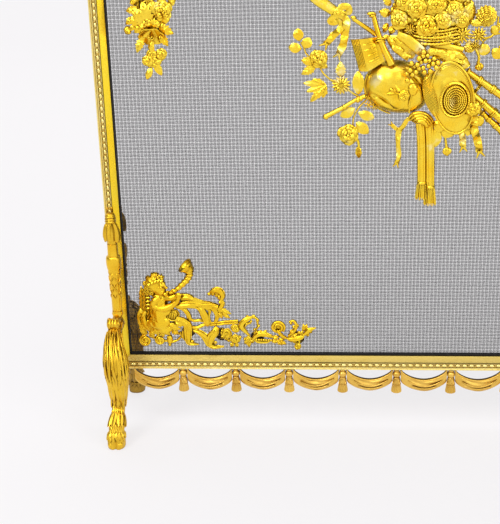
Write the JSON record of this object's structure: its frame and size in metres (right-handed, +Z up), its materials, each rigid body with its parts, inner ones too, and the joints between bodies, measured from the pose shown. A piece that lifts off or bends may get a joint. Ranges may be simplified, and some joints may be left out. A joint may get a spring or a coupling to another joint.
{
  "type": "fireplace screen",
  "caption": "Free-standing fireplace screen: a slim moulded bronze frame with a fine wire panel, applied ornaments and four short animal legs.",
  "frame": {"origin": "on the floor, under the middle of the screen", "axes": "+X to the viewer's right along the panel, +Y away from the viewer, +Z up; the ornamented face looks along -Y"},
  "size_m": [0.696, 0.155, 0.7733],
  "materials": {
    "gilt_bronze": "gilt, polished on the mouldings, darker in the hollows",
    "black_steel": "black, satin",
    "steel_wire": "dull woven wire"
  },
  "bodies": {
    "root": {"bottom_rail": "gilt_bronze", "crest": "gilt_bronze", "front_left_arrow_sheaf": "gilt_bronze", "front_left_leg": "gilt_bronze", "front_left_quiver": "gilt_bronze", "front_right_arrow_sheaf": "gilt_bronze", "front_right_leg": "gilt_bronze", "front_right_quiver": "gilt_bronze", "left_finial": "gilt_bronze", "left_stile": "gilt_bronze", "lower_left_mount": "gilt_bronze", "lower_right_mount": "gilt_bronze", "mesh_channel_bottom": "black_steel", "mesh_channel_left": "black_steel", "mesh_channel_right": "black_steel", "mesh_channel_top": "black_steel", "rear_left_arrow_sheaf": "gilt_bronze", "rear_left_leg": "gilt_bronze", "rear_left_quiver": "gilt_bronze", "rear_right_arrow_sheaf": "gilt_bronze", "rear_right_leg": "gilt_bronze", "rear_right_quiver": "gilt_bronze", "right_finial": "gilt_bronze", "right_stile": "gilt_bronze", "swag_01": "gilt_bronze", "swag_02": "gilt_bronze", "swag_03": "gilt_bronze", "swag_04": "gilt_bronze", "swag_05": "gilt_bronze", "swag_06": "gilt_bronze", "swag_07": "gilt_bronze", "swag_08": "gilt_bronze", "swag_09": "gilt_bronze", "swag_10": "gilt_bronze", "swag_11": "gilt_bronze", "tassel_01": "gilt_bronze", "tassel_02": "gilt_bronze", "tassel_03": "gilt_bronze", "tassel_04": "gilt_bronze", "tassel_05": "gilt_bronze", "tassel_06": "gilt_bronze", "tassel_07": "gilt_bronze", "tassel_08": "gilt_bronze", "tassel_09": "gilt_bronze", "tassel_10": "gilt_bronze", "top_rail": "gilt_bronze", "trophy_bagpipe_pouch": "gilt_bronze", "trophy_flower_basket": "gilt_bronze", "trophy_grapes": "gilt_bronze", "trophy_left_spray": "gilt_bronze", "trophy_pipes": "gilt_bronze", "trophy_ribbon": "gilt_bronze", "trophy_right_spray": "gilt_bronze", "trophy_score_book": "gilt_bronze", "trophy_shell": "gilt_bronze", "trophy_straw_hat": "gilt_bronze", "trophy_tassels": "gilt_bronze", "upper_left_mount": "gilt_bronze", "upper_right_mount": "gilt_bronze", "wire_panel": "steel_wire"}
  },
  "joints": []
}
